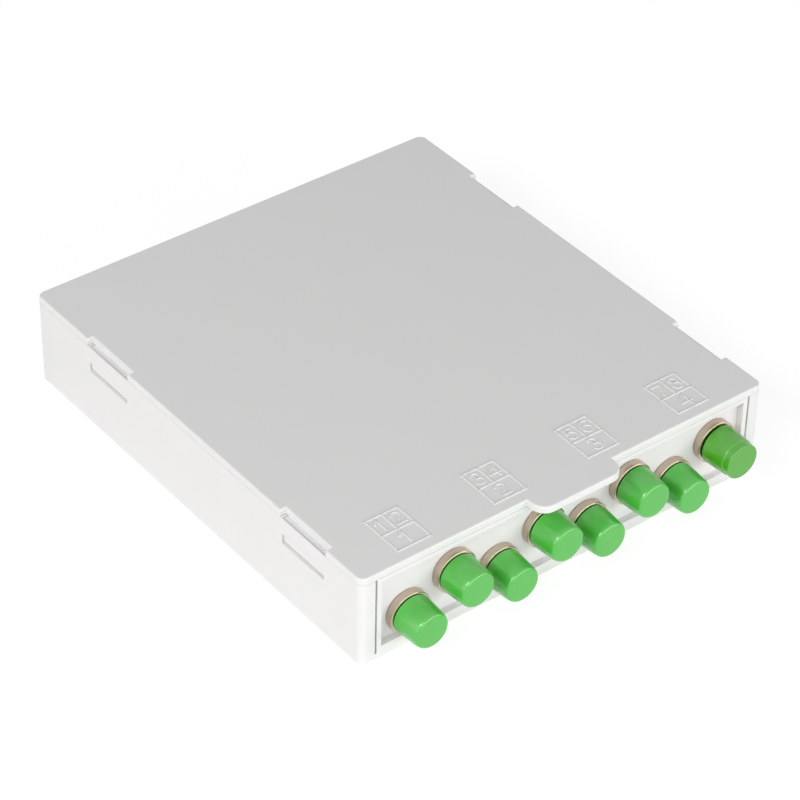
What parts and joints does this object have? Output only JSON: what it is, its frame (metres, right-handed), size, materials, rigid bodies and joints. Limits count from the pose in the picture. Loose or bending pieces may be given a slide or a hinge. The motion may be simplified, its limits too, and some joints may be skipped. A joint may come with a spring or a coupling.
{
  "type": "wall-mount fibre distribution box",
  "caption": "Flat rectangular wall box with a lift-off cover and finger tab, a zigzag row of round threaded fibre ports under push-on dust caps, and a fibre spool inside.",
  "frame": {"origin": "centre of the box's back face, which lies on the wall", "axes": "+Z out of the wall through the cover, -Y out of the ports, +X to the right seen from the front"},
  "size_m": [0.15, 0.1778, 0.032],
  "materials": {
    "housing": "fine satin, off-white",
    "nickel": "turned, nickel plated",
    "steel": "zinc plated",
    "ceramic": "polished white ceramic",
    "cap": "satin green",
    "holder": "satin light grey",
    "clamp": "satin off-white"
  },
  "bodies": {
    "housing": {"base": "housing", "adaptor_panel": "housing", "lock_washers": "steel", "adaptor_nuts": "nickel", "splice_holder": "holder", "cable_clamp_left": "clamp", "cable_clamp_right": "clamp", "clamp_screws": "steel", "adaptor_1": "nickel", "alignment_sleeve_1": "ceramic", "adaptor_2": "nickel", "alignment_sleeve_2": "ceramic", "adaptor_3": "nickel", "alignment_sleeve_3": "ceramic", "adaptor_4": "nickel", "alignment_sleeve_4": "ceramic", "adaptor_5": "nickel", "alignment_sleeve_5": "ceramic", "adaptor_6": "nickel", "alignment_sleeve_6": "ceramic", "adaptor_7": "nickel", "alignment_sleeve_7": "ceramic", "adaptor_8": "nickel", "alignment_sleeve_8": "ceramic"},
    "cover": {"cover": "housing"},
    "front_cap_1": {"front_cap_1": "cap"},
    "front_cap_2": {"front_cap_2": "cap"},
    "front_cap_3": {"front_cap_3": "cap"},
    "front_cap_4": {"front_cap_4": "cap"},
    "front_cap_5": {"front_cap_5": "cap"},
    "front_cap_6": {"front_cap_6": "cap"},
    "front_cap_7": {"front_cap_7": "cap"},
    "front_cap_8": {"front_cap_8": "cap"},
    "inner_cap_1": {"inner_cap_1": "cap"},
    "inner_cap_2": {"inner_cap_2": "cap"},
    "inner_cap_3": {"inner_cap_3": "cap"},
    "inner_cap_4": {"inner_cap_4": "cap"},
    "inner_cap_5": {"inner_cap_5": "cap"},
    "inner_cap_6": {"inner_cap_6": "cap"},
    "inner_cap_7": {"inner_cap_7": "cap"},
    "inner_cap_8": {"inner_cap_8": "cap"}
  },
  "joints": [
    {"name": "cover_lift", "type": "slide", "parent": "housing", "child": "cover", "axis": [0, 0, 1], "range_m": [0, 0.05]},
    {"name": "front_cap_1_pull", "type": "slide", "parent": "housing", "child": "front_cap_1", "axis": [0, -1, 0], "range_m": [0, 0.014]},
    {"name": "front_cap_2_pull", "type": "slide", "parent": "housing", "child": "front_cap_2", "axis": [0, -1, 0], "range_m": [0, 0.014]},
    {"name": "front_cap_3_pull", "type": "slide", "parent": "housing", "child": "front_cap_3", "axis": [0, -1, 0], "range_m": [0, 0.014]},
    {"name": "front_cap_4_pull", "type": "slide", "parent": "housing", "child": "front_cap_4", "axis": [0, -1, 0], "range_m": [0, 0.014]},
    {"name": "front_cap_5_pull", "type": "slide", "parent": "housing", "child": "front_cap_5", "axis": [0, -1, 0], "range_m": [0, 0.014]},
    {"name": "front_cap_6_pull", "type": "slide", "parent": "housing", "child": "front_cap_6", "axis": [0, -1, 0], "range_m": [0, 0.014]},
    {"name": "front_cap_7_pull", "type": "slide", "parent": "housing", "child": "front_cap_7", "axis": [0, -1, 0], "range_m": [0, 0.014]},
    {"name": "front_cap_8_pull", "type": "slide", "parent": "housing", "child": "front_cap_8", "axis": [0, -1, 0], "range_m": [0, 0.014]},
    {"name": "inner_cap_1_pull", "type": "slide", "parent": "housing", "child": "inner_cap_1", "axis": [0, 1, 0], "range_m": [0, 0.01]},
    {"name": "inner_cap_2_pull", "type": "slide", "parent": "housing", "child": "inner_cap_2", "axis": [0, 1, 0], "range_m": [0, 0.01]},
    {"name": "inner_cap_3_pull", "type": "slide", "parent": "housing", "child": "inner_cap_3", "axis": [0, 1, 0], "range_m": [0, 0.01]},
    {"name": "inner_cap_4_pull", "type": "slide", "parent": "housing", "child": "inner_cap_4", "axis": [0, 1, 0], "range_m": [0, 0.01]},
    {"name": "inner_cap_5_pull", "type": "slide", "parent": "housing", "child": "inner_cap_5", "axis": [0, 1, 0], "range_m": [0, 0.01]},
    {"name": "inner_cap_6_pull", "type": "slide", "parent": "housing", "child": "inner_cap_6", "axis": [0, 1, 0], "range_m": [0, 0.01]},
    {"name": "inner_cap_7_pull", "type": "slide", "parent": "housing", "child": "inner_cap_7", "axis": [0, 1, 0], "range_m": [0, 0.01]},
    {"name": "inner_cap_8_pull", "type": "slide", "parent": "housing", "child": "inner_cap_8", "axis": [0, 1, 0], "range_m": [0, 0.01]}
  ]
}
